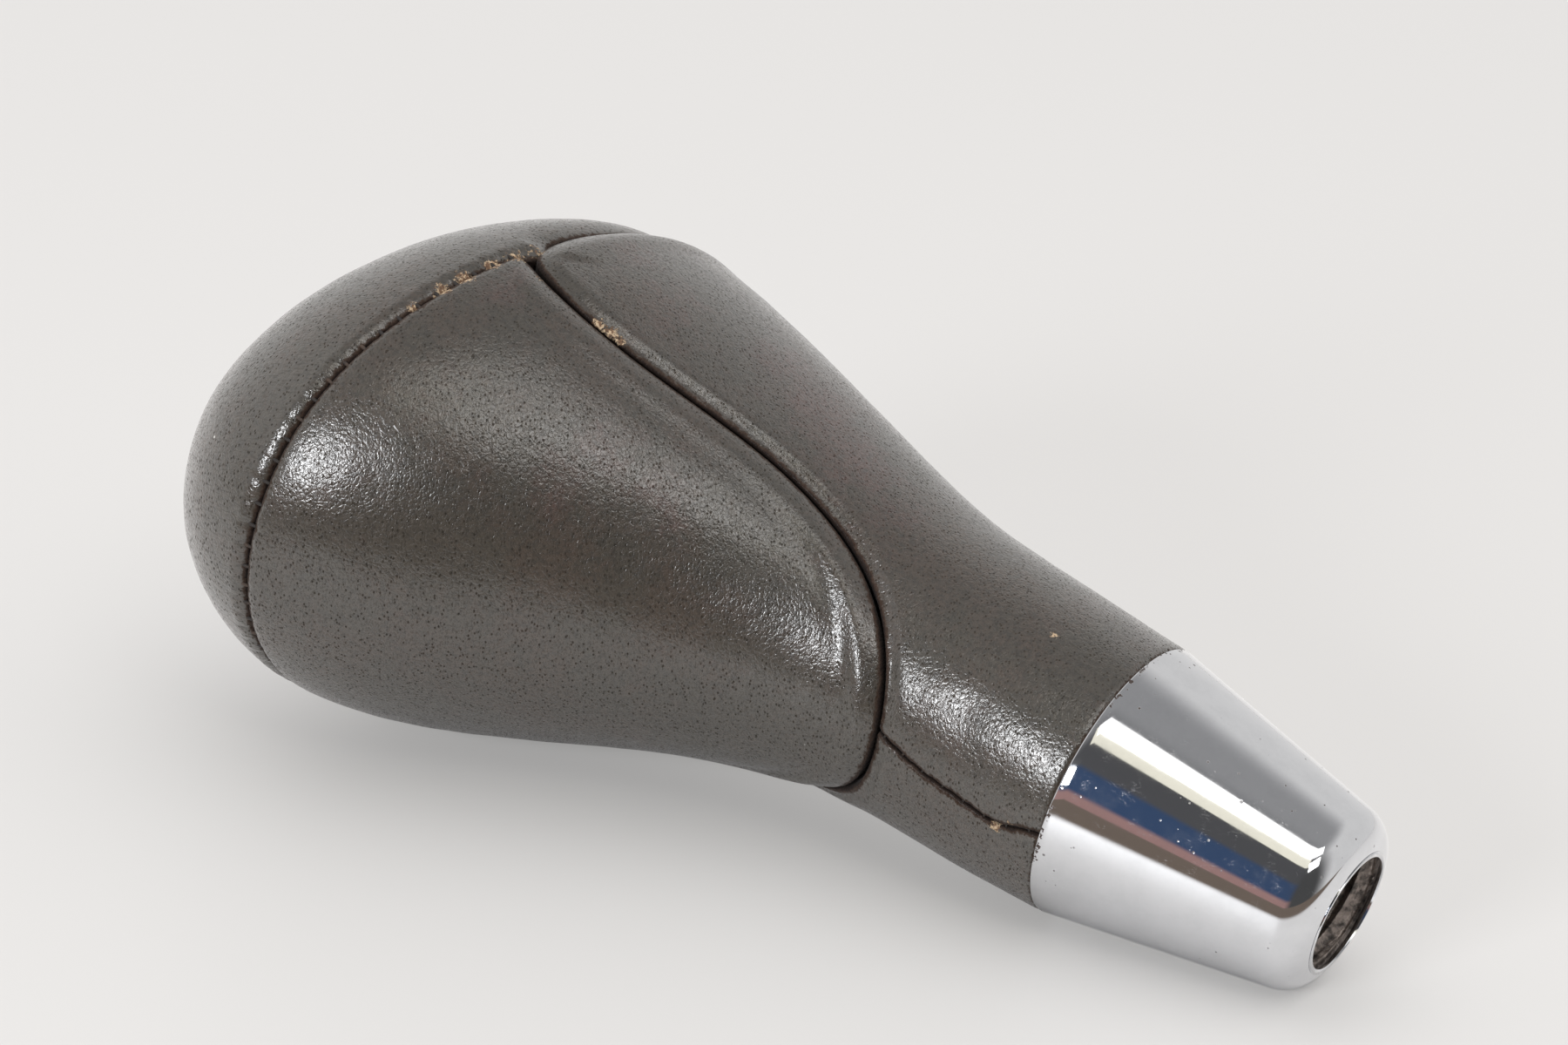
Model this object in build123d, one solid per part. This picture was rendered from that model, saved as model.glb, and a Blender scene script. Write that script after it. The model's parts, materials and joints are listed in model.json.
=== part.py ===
# Gear shift knob: a moulded core on a tapped sleeve, three sewn leather panels and a chrome ferrule.
# Worked in the lever's frame, Z up the lever from the ferrule's nose and +X to the rear, then laid down.
# The skilled feature is the leather: three panels on the pear-shaped head, each parted along its seams with
# its pared edges turned down into channels of the core.
import os
from math import cos, pi, radians, sin

from build123d import *

# Chrome ferrule
mouth_height = 23.75       # from the nose to the mouth, where the leather starts
mouth_radius = 12.85
nose_radius = 8.2          # of the cone, where it would meet the nose plane
nose_rounding = 3.4
nose_lip = 0.8             # wall left at the nose in front of the sleeve
hole_radius = 5.75
fit_clearance = 0.05       # between the ferrule and what it is pressed over

# Outline of the covered head: rear and front reach, and half width, at each station up the lever
neck_height = 33.0
neck_rear = 13.0
neck_front = 13.6
neck_side = 13.2
waist_height = 46.0
waist_rear = 13.3
waist_front = 15.5
waist_side = 13.8
flare_height = 60.0
flare_rear = 17.9
flare_front = 19.5
flare_side = 17.0
shoulder_height = 74.0
shoulder_rear = 25.9
shoulder_front = 23.4
shoulder_side = 21.4
widest_height = 88.0
widest_rear = 33.0
widest_front = 22.8
widest_side = 23.7
top_height = 109.6
top_setback = 15.0         # how far the crown's top leans to the rear
dome_fullness = 1.76       # exponent of the crown's outline, 2 being an ellipse
dome_stations = 6

# Leather and its seams
leather = 1.3
skived_edge = 0.8          # leather pared thin where it is turned in
tuck_depth = 2.6           # how far the turned edges reach into the core
seam_gap = 0.2             # between two sewn edges
groove_gap = 0.7           # between the rear panel and the front panel
channel_clearance = 0.1
crown_depth = 22.6         # from the crown's top down to where its seam's plane crosses the lever's axis
crown_seam_tilt = 10.4     # the seam rises to the rear
ferrule_tuck = 2.5         # leather held inside the ferrule's mouth

# Groove round the rear panel, in side view: reach to the rear and height
groove_top_reach = 6.6
groove_top_slope = 59.0    # how steeply the groove leaves the crown seam
groove_corner_reach = 8.9
groove_corner_depth = 6.0  # below the crown seam
groove_side_reach = 5.4
groove_side_height = 59.0
groove_turn_reach = 7.6
groove_turn_height = 47.5
groove_foot_height = 40.6  # bottom of the rear panel, on its centre line
groove_foot_slope = 42.0   # how steeply the groove leaves the rear of the neck
groove_spans = 12          # of the curve that is moved to either side for the two edges

# Core's spigot and the tapped sleeve
spigot_radius = 10.4
spigot_end_radius = 8.6
spigot_end_height = 12.0
sleeve_radius = 7.0
sleeve_top = 58.0
thread_core_radius = 4.95  # bore of the tapped hole
thread_depth = 42.0        # from the nose
hex_across_flats = 17.0    # head that keeps the sleeve from turning
hex_thickness = 7.0

# How it lies
lie_roll = -5.0            # the rear panel turns down a little
steepest_pitch = 45.0      # the lying angle is halved in on from here down to zero
pitch_halvings = 16

crown_seam_height = top_height - crown_depth
groove_corner_height = crown_seam_height - groove_corner_depth
far = 2 * top_height
standing = (Align.CENTER, Align.CENTER, Align.MIN)


def stations():
    """Rear reach, front reach, half width and height of the outline's sections below the crown."""
    return [
        (mouth_radius, mouth_radius, mouth_radius, mouth_height),
        (neck_rear, neck_front, neck_side, neck_height),
        (waist_rear, waist_front, waist_side, waist_height),
        (flare_rear, flare_front, flare_side, flare_height),
        (shoulder_rear, shoulder_front, shoulder_side, shoulder_height),
        (widest_rear, widest_front, widest_side, widest_height),
    ]


def oval(rear, front, side, height, inset):
    half_length = (rear + front) / 2 - inset
    centre = (rear - front) / 2
    return Pos(centre, 0, height) * Ellipse(half_length, min(side - inset, half_length))


def head(inset):
    """The head as a solid, its surface set in from the leather's by inset."""
    sections = [oval(*station, inset) for station in stations()]
    half_length = (widest_rear + widest_front) / 2 - inset
    centre = (widest_rear - widest_front) / 2
    rise = top_height - inset - widest_height
    for step in range(1, dome_stations + 1):
        share = sin(pi / 2 * step / (dome_stations + 1))
        size = (1 - share**dome_fullness) ** (1 / dome_fullness)
        lean = centre + (top_setback - centre) * share
        place = Pos(lean, 0, widest_height + rise * share)
        sections.append(place * Ellipse(half_length * size, (widest_side - inset) * size))
    return loft(sections + [Vertex(top_setback, 0, top_height - inset)])


def slanting(degrees_down):
    """Heading to the rear and down."""
    return Vector(cos(radians(degrees_down)), 0, -sin(radians(degrees_down)))


def groove_line(edge):
    """Side view of the groove, moved to the rear by edge, from the crown seam to behind the neck."""
    foot_share = (groove_foot_height - neck_height) / (waist_height - neck_height)
    middle = Spline(
        Vector(groove_top_reach, 0, crown_seam_height),
        Vector(groove_corner_reach, 0, groove_corner_height),
        Vector(groove_side_reach, 0, groove_side_height),
        Vector(groove_turn_reach, 0, groove_turn_height),
        Vector(neck_rear + (waist_rear - neck_rear) * foot_share, 0, groove_foot_height),
        tangents=[slanting(groove_top_slope), slanting(groove_foot_slope)],
    )
    moved = []
    for span in range(groove_spans + 1):
        heading = middle.tangent_at(span / groove_spans)
        sideways = Vector(-heading.Z, 0, heading.X)
        moved.append(middle.position_at(span / groove_spans) + sideways * edge)
    return moved


def rear_region(edge):
    """All space to the rear of the groove line, moved to the rear by edge."""
    moved = groove_line(edge)
    start = moved[0] + Vector(0, 0, far)
    end = moved[-1] + slanting(groove_foot_slope) * far
    corner = Vector(end.X, 0, start.Z)
    outline = [Line(start, moved[0]), Spline(*moved), Polyline(moved[-1], end, corner, start)]
    return extrude(make_face(outline), far, both=True)


def crown_region(edge):
    """All space above the crown seam's plane, moved up by edge."""
    block = Box(2 * far, 2 * far, far, align=standing)
    return Pos(0, 0, crown_seam_height) * Rot(0, -crown_seam_tilt, 0) * Pos(0, 0, edge) * block


def neck_slot(edge):
    """The neck seam's slot behind the lever, reaching edge to either side."""
    return Box(far, 2 * edge, crown_seam_height, align=(Align.MIN, Align.CENTER, Align.MIN))


def crown_area(back):
    return crown_region(seam_gap / 2 + back)


def rear_area(back):
    return rear_region(groove_gap / 2 + back) - crown_region(-seam_gap / 2 - back)


def front_area(back):
    everything = Box(2 * far, 2 * far, 2 * far)
    rear_and_crown = [rear_region(-groove_gap / 2 - back), crown_region(-seam_gap / 2 - back)]
    return everything - rear_and_crown - neck_slot(seam_gap / 2 + back)


def panel(area, cover, tuck_zone):
    """Leather over one area of the head, its pared edges turned into the core along the seams."""
    turned_edges = tuck_zone & (area(0) - area(skived_edge))
    return (cover & area(0)) + turned_edges


def ring(outer, inner, bottom, top):
    outside = Cylinder(outer, top - bottom, align=standing)
    inside = Cylinder(inner, top - bottom, align=standing)
    return Pos(0, 0, bottom) * (outside - inside)


def turned(points):
    """Solid of revolution about the lever's axis from radius and height pairs."""
    outline = Polyline(*[(radius, 0, height) for radius, height in points], close=True)
    return revolve(make_face(outline), Axis.Z)


def ferrule_form():
    corners = [(0, 0), (nose_radius, 0), (mouth_radius, mouth_height), (0, mouth_height)]
    outline = make_face(Polyline(*[(radius, 0, height) for radius, height in corners], close=True))
    nose_corner = outline.vertices().sort_by(Axis.Z)[:2].sort_by(Axis.X)[-1]
    body = revolve(fillet(nose_corner, nose_rounding), Axis.Z)
    tuck_radius = spigot_radius + skived_edge + fit_clearance
    tuck_bottom = mouth_height - ferrule_tuck - fit_clearance
    socket_radius = sleeve_radius + fit_clearance
    cavity = turned([
        (0, -nose_lip),
        (hole_radius, -nose_lip),
        (hole_radius, nose_lip),
        (socket_radius, nose_lip),
        (socket_radius, spigot_end_height - fit_clearance),
        (spigot_end_radius + fit_clearance, spigot_end_height - fit_clearance),
        (spigot_radius + fit_clearance, tuck_bottom),
        (tuck_radius, tuck_bottom),
        (tuck_radius, mouth_height + nose_lip),
        (0, mouth_height + nose_lip),
    ])
    return body - cavity


def sleeve_form():
    """Outside of the tapped sleeve, with the hexagon that locks it in the core."""
    barrel = Pos(0, 0, nose_lip) * Cylinder(sleeve_radius, sleeve_top - nose_lip, align=standing)
    hexagon = RegularPolygon(hex_across_flats / 2, 6, major_radius=False, rotation=30)
    return barrel + extrude(Pos(0, 0, sleeve_top - hex_thickness) * hexagon, hex_thickness)


def thread_bore():
    return turned([
        (0, nose_lip),
        (hole_radius, nose_lip),
        (thread_core_radius, nose_lip + hole_radius - thread_core_radius),
        (thread_core_radius, thread_depth),
        (0, thread_depth + thread_core_radius / 2),
    ])


def lay_down(pitch):
    """Turns the lever's frame so that the knob lies along X on its side, the nose to +X."""
    return Rot(0, pitch - 90, 0) * Rot(0, 0, lie_roll - 90)


def resting_pitch(cover_form, ferrule):
    """Angle at which the head and the ferrule's nose touch the floor together."""
    low, high = 0.0, steepest_pitch
    for _ in range(pitch_halvings):
        pitch = (low + high) / 2
        place = lay_down(pitch)
        if (place * cover_form).bounding_box().min.Z < (place * ferrule).bounding_box().min.Z:
            low = pitch
        else:
            high = pitch
    return pitch


cover_form = head(0)
core_form = head(leather)
tuck_zone = core_form - head(leather + tuck_depth)
cover = cover_form - core_form

neck_fold = ring(mouth_radius - leather / 2, spigot_radius, mouth_height, mouth_height + leather)
neck_tuck = ring(spigot_radius + skived_edge, spigot_radius, mouth_height - ferrule_tuck, mouth_height)

crown_panel = panel(crown_area, cover, tuck_zone)
rear_panel = panel(rear_area, cover, tuck_zone)
front_panel = panel(front_area, cover, tuck_zone) + (neck_fold + neck_tuck - neck_slot(seam_gap / 2))

lands = head(leather + tuck_depth + channel_clearance)
for area in (crown_area, rear_area, front_area):
    lands += core_form & area(skived_edge + channel_clearance)
spigot = turned([
    (0, mouth_height),
    (spigot_radius, mouth_height),
    (spigot_radius, mouth_height - ferrule_tuck),
    (spigot_end_radius, spigot_end_height),
    (0, spigot_end_height),
])
neck_room = ring(mouth_radius + leather, spigot_radius, mouth_height - leather, mouth_height + leather)
grip_core = lands - neck_room + spigot - sleeve_form()

lever_sleeve = sleeve_form() - thread_bore()
chrome_ferrule = ferrule_form()

nodes = {
    "grip_core": grip_core,
    "lever_sleeve": lever_sleeve,
    "chrome_ferrule": chrome_ferrule,
    "crown_panel": crown_panel,
    "rear_panel": rear_panel,
    "front_panel": front_panel,
}

lie = lay_down(resting_pitch(cover_form, chrome_ferrule))
box = Compound(children=[lie * cover_form, lie * chrome_ferrule]).bounding_box()
place = Pos(-box.center().X, -box.center().Y, -box.min.Z) * lie

os.makedirs("parts", exist_ok=True)
for name, solid in nodes.items():
    export_step(place * solid, f"parts/{name}.step")
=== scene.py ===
# Gear shift knob: three worn leather panels with sewn seams, a pitted chrome ferrule and a tapped sleeve.
import json
from math import cos, pi, radians, sin, tan

import bpy
import numpy as np
from mathutils import Matrix, Quaternion, Vector
from mathutils.kdtree import KDTree

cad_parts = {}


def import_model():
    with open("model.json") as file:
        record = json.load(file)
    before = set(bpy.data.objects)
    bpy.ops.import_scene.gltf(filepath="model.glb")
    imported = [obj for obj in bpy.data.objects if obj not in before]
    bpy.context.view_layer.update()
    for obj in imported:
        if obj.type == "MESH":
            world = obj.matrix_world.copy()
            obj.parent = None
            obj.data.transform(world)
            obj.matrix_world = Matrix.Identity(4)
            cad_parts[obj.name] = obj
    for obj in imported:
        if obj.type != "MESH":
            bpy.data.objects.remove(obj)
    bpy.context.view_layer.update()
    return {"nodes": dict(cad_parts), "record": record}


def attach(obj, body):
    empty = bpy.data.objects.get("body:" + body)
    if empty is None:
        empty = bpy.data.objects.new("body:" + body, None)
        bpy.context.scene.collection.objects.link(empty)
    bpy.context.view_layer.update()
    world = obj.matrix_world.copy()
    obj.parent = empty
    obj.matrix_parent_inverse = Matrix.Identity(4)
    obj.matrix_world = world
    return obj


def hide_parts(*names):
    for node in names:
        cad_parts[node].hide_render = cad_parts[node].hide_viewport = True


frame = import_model()

# Sizes are in millimetres, in the lever's frame: Z up the lever from the ferrule's nose, +X to the rear
MM = 0.001
mount = frame["record"]["mounts"][0]
mount_depth = 21.8          # from the nose to the middle of the tapped bore
lie_roll = -5.0

# Outline of the covered head: height, rear reach, front reach and half width
mouth_height = 23.75
mouth_radius = 12.85
stations = [
    (mouth_height, mouth_radius, mouth_radius, mouth_radius),
    (33.0, 13.0, 13.6, 13.2),
    (46.0, 13.3, 15.5, 13.8),
    (60.0, 17.9, 19.5, 17.0),
    (74.0, 25.9, 23.4, 21.4),
    (88.0, 33.0, 22.8, 23.7),
]
top_height = 109.6
top_setback = 15.0
dome_fullness = 1.76
dome_stations = 6
height_steps = 1200         # samples that turn heights into distances along the head

# Seams
crown_seam_height = 86.5    # where the crown seam's plane crosses the lever's axis
crown_seam_rise = 0.184     # rise of that plane per millimetre to the rear
crown_seam_range = (70.0, 104.0)    # heights between which the seam is looked for
seam_swell = 1.4            # the sewn seam bows up on one side
seam_swell_place = radians(45)
seam_swell_width = radians(38)
front_lift = 1.1            # the front panel's top edge stands higher than the sewn seam
front_lift_turn = (radians(80), radians(100))
seam_gap = 0.14
seam_samples = 400
groove_gap = 0.26
groove_points = [           # side view of the groove: reach to the rear, height
    (6.2, 90.0),
    (8.0, 86.2),
    (8.9, 81.0),
    (5.4, 59.0),
    (7.6, 47.5),
    (13.25, 40.5),
    (16.6, 37.5),
]
groove_samples = 900
groove_overrun = 8.0        # the groove's line is kept up to this far past the crown seam
neck_seam = [               # the neck seam's wander: height, degrees round the lever
    (23.0, 2.6),
    (24.8, 1.6),
    (27.3, -2.2),
    (28.9, -2.6),
    (31.8, -1.0),
    (35.6, 0.8),
    (38.0, 3.2),
    (41.0, 7.2),
]
neck_seam_top = 41.5
neck_samples = 300
neck_radius = 13.0
neck_jog = 0.12             # the neck seam steps aside by this much at each stitch
mouth_tuck = 0.3            # how far the front panel reaches into the ferrule
stitch_pitch = 2.05
stitch_width = 0.13         # of the pull of one stitch, as a share of the pitch

# Leather
leather = 1.3
tuck = 1.3                  # how far the turned edges run down into the seams
tuck_shoulder = 0.35        # share of the tuck at which its side has an extra ring
folded_edge = 1.0           # further thickness of the leather where it is folded
inside_ring_step = 6        # the inside face uses every sixth ring of the outside
swells = (0.06, 14.0, 3)    # soft waves of the surface: height, size and seed
ripples = (0.012, 4.0, 4)
plain_edge = 6.0            # the waves grow from the edge in over this distance
edge_band = np.array([      # distances from a panel's edge at which its mesh has a ring
    0, 0.05, 0.12, 0.21, 0.32, 0.45, 0.6, 0.77, 0.95,
    1.15, 1.37, 1.6, 1.85, 2.15, 2.5, 2.9, 3.4, 4.0,
])
edge_band_share = 0.45      # the most of the way to a panel's middle that the band takes
mean_radius = 20.0          # turns angles into lengths where a panel is laid flat

# Rear panel
rear_spacing = 0.3
rear_rings = 46
rear_middle = 72.0
rear_corner_reach = 5
rear_sewn_roll = (0.8, 0.5)         # width and depth, as for the other rolls
rear_stitch_dip = (0.12, 0.5)       # depth and reach
rear_foot_rise = (62.0, 46.0)       # heights over which the sides turn into the foot
rear_roll_width = (1.9, 0.5)        # at the sides, and what is added at the foot
rear_roll_depth = (0.7, 0.15)
rear_puff_height = (0.08, 0.15)
rear_puff_place = (2.1, 0.9)        # distance from the edge and width
rear_hollow_depth = (0.06, 0.1)
rear_hollow_place = (3.6, 0.9)

# Crown; angles are in radians
crown_spacing = 0.25
crown_rings = 46
crown_samples = 1500
crown_corner_turn = 0.05            # from the groove's end to the middle of the drawn point
crown_point_drop = 1.6              # the leather is drawn down into the groove's corner
crown_point_width = 0.06
crown_point_dent = 0.5
crown_point_reach = 1.5
crown_point_spread = 0.09
crown_front_turn = (-0.05, 0.1)     # where the sewn edge turns into the tucked one
crown_sewn_roll = (1.7, 0.85)
crown_stitch_dip = (0.25, 0.45)
crown_puff = (0.06, 1.3, 0.6)       # height, distance from the edge and width, as for the other puffs
crown_tucked_roll = (3.4, 1.15)

# Front panel
front_spacing = 0.42
front_rings = 60
front_middle = 34.0
front_samples = 700
front_corner_reach = 9
front_label_reach = 4
front_tucked_roll = (2.4, 1.2)
front_tucked_puff = (0.3, 2.8, 1.5)
front_lip_roll = (0.5, 0.25)
front_lip_drop = 0.36               # the lip lies lower than the panel behind it
front_lip_step = (0.5, 1.6)
front_lip_puff = (0.05, 1.9, 0.9)
front_neck_roll = (0.5, 0.35)
front_neck_puff = (-0.08, 0.0, 1.2)
front_mouth_roll = (0.9, 0.75)

# Long creases: their share of a panel's grain, and how they run
sparse_creases = 0.15
full_creases = 1.0
crease_turn = radians(25)           # they run level, at this turn from the lever's lie
head_middle = np.array([0.0, 0.0, 80.0])
head_girth = 24.0

# Ferrule and bore
nose_radius = 8.2
nose_rounding = 3.4
nose_steps = 22
cone_steps = 30
cone_end = 0.18             # the cone ends so far short of the mouth
ferrule_columns = 256
hole_radius = 5.75
nose_lip = 0.8
sleeve_radius = 6.9
sleeve_clearance = 0.15
sleeve_top = 58.0
sleeve_start = nose_lip + 0.02
sleeve_columns = 72
thread_minor = 4.95
thread_major = 5.55
thread_pitch = 1.27
thread_depth = 40.0
thread_steps = 16           # rings in one turn of the thread
thread_crest = 1.15         # above one, so that the cut has a flat root
thread_flank = 2.3
thread_rounding = 0.8
lead_in = (0.6, 0.7)        # depth and length of the wider start of the thread
lead_in_rim = 0.1
drill_tip = 2.0
hole_edge = [               # beyond the hole's radius, height
    (0.0, 0.2),
    (0.03, 0.08),
    (0.09, 0.02),
    (0.18, 0.0),
]
mouth_edge = [              # from the mouth's radius and height
    (-0.06, -0.05),
    (-0.2, 0.0),
    (-0.75, 0.0),
    (-0.85, -3.0),
]
ferrule_cavity = [          # radius, height
    (8.4, 5.0),
    (7.2, 2.2),
    (sleeve_radius + sleeve_clearance, nose_lip),
    (hole_radius, nose_lip),
]

# Rows of stitches: sink below the surface, length and thickness
crown_stitch = (0.42, 1.2, 0.34)
crown_stitch_rise = 0.25    # the row lies so far above the seam's line
crown_stitch_inset = 0.03   # radians left free at each end
neck_stitch = (0.4, 0.6, 0.22)
neck_stitch_start = 1.0     # above the mouth
neck_stitch_top = 40.0
neck_stitch_samples = 120
bead_segments = 10
bead_rings = 8
bead_radius = 0.5

# Worn places: spot in the lever's frame, radius, strength
worn_spots = [
    ((8.6, 22.1, 78.4), 0.8, 1.2),
    ((8.3, 21.7, 77.2), 0.8, 1.2),
    ((8.2, 21.3, 76.1), 0.7, 1.1),
    ((18.4, 20.9, 91.3), 0.8, 1.1),
    ((15.6, 22.0, 90.4), 1.1, 1.15),
    ((13.3, 22.7, 89.8), 1.2, 1.2),
    ((10.3, 23.3, 89.1), 1.1, 1.2),
    ((7.9, 23.6, 88.4), 1.3, 1.15),
    ((5.5, 23.4, 87.9), 1.4, 0.8),
    ((-1.6, 23.1, 87.0), 1.2, 0.7),
    ((8.9, 23.4, 85.1), 0.7, 0.8),
    ((9.2, 23.0, 83.0), 0.6, 0.7),
    ((12.9, -0.9, 27.8), 0.7, 1.2),
    ((12.9, 0.1, 26.6), 0.5, 1.0),
    ((3.3, 12.7, 31.5), 0.5, 1.3),
    ((12.1, 20.9, 78.1), 0.28, 1.0),
    ((15.9, 20.7, 82.1), 0.22, 0.9),
]

# Areas rubbed through to a redder brown: spot, radius, strength
flushed_spots = [
    ((-4.6, 18.5, 66.3), 4.0, 0.7),
    ((-3.1, 17.2, 61.2), 4.5, 0.8),
    ((-0.9, 15.7, 55.6), 4.5, 0.8),
    ((1.0, 14.2, 49.7), 4.0, 0.5),
    ((-2.1, 23.1, 82.5), 3.5, 0.5),
    ((1.1, 22.0, 76.1), 4.0, 0.45),
    ((15.7, 15.5, 70.6), 3.5, 0.55),
    ((14.7, 13.0, 65.2), 3.5, 0.5),
    ((20.0, 12.7, 72.4), 3.0, 0.45),
    ((12.1, 22.8, 86.3), 3.0, 0.5),
]

# Hollow pressed into the neck: spot, radius, depth
dent_spot = (11.1, 6.7, 33.8)
dent_radius = 2.5
dent_depth = 0.16

# Camera, as a turn and a shift from the lever's frame
camera_turn = Vector((-1.4302, -0.9115, 2.5331))
camera_shift = Vector((47.5347, 32.98, 430.36))
camera_focus = 5856.71 / 1800    # focal length per picture width
sensor_width = 36.0

nose_out = Vector(mount["axis"])
pitch = -np.arcsin(nose_out.z)
lie = Matrix.Rotation(pitch - pi / 2, 4, "Y") @ Matrix.Rotation(radians(lie_roll - 90), 4, "Z")
nose_place = Vector(mount["pos_m"]) + nose_out * mount_depth * MM
to_world = Matrix.Translation(nose_place) @ lie @ Matrix.Scale(MM, 4)
place_turn = np.array(to_world.to_3x3())
place_shift = np.array(nose_place)


def world(points):
    """Points of the lever's frame in the shared frame, in metres."""
    return points @ place_turn.T + place_shift


def natural_spline(knots, values):
    """Smooth curve through values at knots; returns a function of places along the knots."""
    knots = np.asarray(knots, float)
    values = np.asarray(values, float)
    gap = np.diff(knots)
    slope = np.diff(values, axis=0) / gap[:, None]
    system = np.eye(len(knots))
    right = np.zeros_like(values)
    for k in range(1, len(knots) - 1):
        system[k, k - 1:k + 2] = gap[k - 1], 2 * (gap[k - 1] + gap[k]), gap[k]
        right[k] = 6 * (slope[k] - slope[k - 1])
    bend = np.linalg.solve(system, right)

    def at(places):
        k = np.clip(np.searchsorted(knots, places) - 1, 0, len(gap) - 1)
        h = gap[k][..., None]
        before = (places - knots[k])[..., None]
        after = h - before
        curved = (bend[k] * after**3 + bend[k + 1] * before**3) / (6 * h)
        low = (values[k] / h - bend[k] * h / 6) * after
        return curved + low + (values[k + 1] / h - bend[k + 1] * h / 6) * before

    return at


def run_lengths(points):
    """Length of the line through the points, up to each of them."""
    return np.concatenate([[0], np.cumsum(np.linalg.norm(np.diff(points, axis=0), axis=1))])


def head_sections():
    """Half length, half width, centre and height of the head's oval sections up to the crown's top."""
    rows = [((rear + front) / 2, side, (rear - front) / 2, z) for z, rear, front, side in stations]
    long, wide, centre, base = rows[-1]
    for step in range(1, dome_stations + 1):
        share = sin(pi / 2 * step / (dome_stations + 1))
        size = (1 - share**dome_fullness) ** (1 / dome_fullness)
        lean = centre + (top_setback - centre) * share
        rows.append((long * size, wide * size, lean, base + (top_height - base) * share))
    rows.append((0.0, 0.0, top_setback, top_height))
    return np.array(rows)


sections = head_sections()
rear_line = np.stack([sections[:, 0] + sections[:, 2], sections[:, 3]], 1)
section_knots = run_lengths(rear_line)
section_at = natural_spline(section_knots, sections)
top_along = section_knots[-1]
along_samples = np.linspace(0, top_along, height_steps)
height_samples = section_at(along_samples)[:, 3]


def head(around, along):
    """Point on the leather's surface: angle round the lever from the rear, distance along from the mouth."""
    a, b, c, z = np.moveaxis(section_at(along), -1, 0)
    return np.stack([c + a * np.cos(around), b * np.sin(around), z], -1)


def head_normal(around, along):
    step = 0.02
    along = np.clip(along, step, top_along - 3 * step)
    side = head(around + step, along) - head(around - step, along)
    up = head(around, along + step) - head(around, along - step)
    normal = np.cross(side, up)
    return normal / np.linalg.norm(normal, axis=-1, keepdims=True)


def along_at_height(z):
    return np.interp(z, height_samples, along_samples)


def smooth(low, high, x):
    t = np.clip((x - low) / (high - low), 0, 1)
    return t * t * (3 - 2 * t)


def bump(x, centre, width):
    return np.exp(-(((x - centre) / width) ** 2))


def wrap(angle):
    return (angle + pi) % (2 * pi) - pi


def crown_seam(around, edge):
    """Distance along the head to the crown seam's line at each angle, moved up by edge."""
    swell = seam_swell * bump(wrap(around - seam_swell_place), 0, seam_swell_width)
    swell = swell + front_lift * smooth(*front_lift_turn, np.abs(wrap(around)))
    low, high = crown_seam_range
    search = np.linspace(along_at_height(low), along_at_height(high), seam_samples)
    found = []
    for angle, lift in zip(np.atleast_1d(around), np.atleast_1d(swell)):
        line = head(np.full(seam_samples, angle), search)
        over = line[:, 2] - crown_seam_rise * line[:, 0] - crown_seam_height - lift
        found.append(np.interp(0, over, search))
    return np.array(found) + edge


def groove(edge):
    """The groove's line on one side, moved to the rear by edge: angles and distances along, foot first."""
    corners = np.array(groove_points)
    knots = run_lengths(corners)
    line = natural_spline(knots, corners)(np.linspace(0, knots[-1], groove_samples))
    heading = np.gradient(line, axis=0)
    heading /= np.linalg.norm(heading, axis=1, keepdims=True)
    line = line + np.stack([-heading[:, 1], heading[:, 0]], 1) * edge
    along = along_at_height(line[:, 1])
    half_length, _, centre, _ = section_at(along).T
    share = (line[:, 0] - centre) / half_length
    foot = int(np.argmax(share > 1))
    around = np.arccos(np.clip(share[:foot], -1, 1))
    along_foot = np.interp(1, share[foot - 1:foot + 1], along[foot - 1:foot + 1])
    around = np.concatenate([[0], around[::-1]])
    along = np.concatenate([[along_foot], along[:foot][::-1]])
    below = along < crown_seam(around[-1:], 0)[0] + groove_overrun
    return around[below], along[below]


def joined_at_seam(around, along, edge):
    """Cuts a groove line off at the crown seam, moved up by edge."""
    limit = crown_seam(around, edge)
    inside = along < limit
    cut = int(np.argmin(inside)) if not inside.all() else len(around)
    return around[:cut], along[:cut]


def even_loop(pieces, spacing):
    """Closed line through the pieces, evenly spaced: angles, distances along, piece numbers and places."""
    around = np.concatenate([p[0] for p in pieces])
    along = np.concatenate([p[1] for p in pieces])
    label = np.concatenate([np.full(len(p[0]), i) for i, p in enumerate(pieces)])
    points = head(around, along)
    arc = run_lengths(np.concatenate([points, points[:1]]))
    count = int(arc[-1] / spacing)
    places = np.arange(count) * arc[-1] / count
    around = np.interp(places, arc, np.append(around, around[0]))
    along = np.interp(places, arc, np.append(along, along[0]))
    label = label[np.clip(np.searchsorted(arc, places, side="right") - 1, 0, len(label) - 1)]
    return around, along, label, places


def blurred(values, reach):
    """Closed run of values averaged over a bell of about reach places either way."""
    span = np.arange(-3 * reach, 3 * reach + 1)
    bell = np.exp(-((span / reach) ** 2))
    bell /= bell.sum()
    padded = np.concatenate([values[-3 * reach:], values, values[:3 * reach]])
    return np.convolve(padded, bell, mode="valid")


def rounded(around, along, corner_places, reach):
    """Rounds the loop's corners at these places, reach being in places along the loop."""
    order = np.arange(len(around))
    weight = np.zeros(len(around))
    for corner in corner_places:
        gap = np.abs((order - corner + len(order) / 2) % len(order) - len(order) / 2)
        weight = np.maximum(weight, 1 - smooth(1.2 * reach, 3 * reach, gap))
    soft_around = blurred(around, reach)
    soft_along = blurred(along, reach)
    return around + weight * (soft_around - around), along + weight * (soft_along - along)


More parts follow.
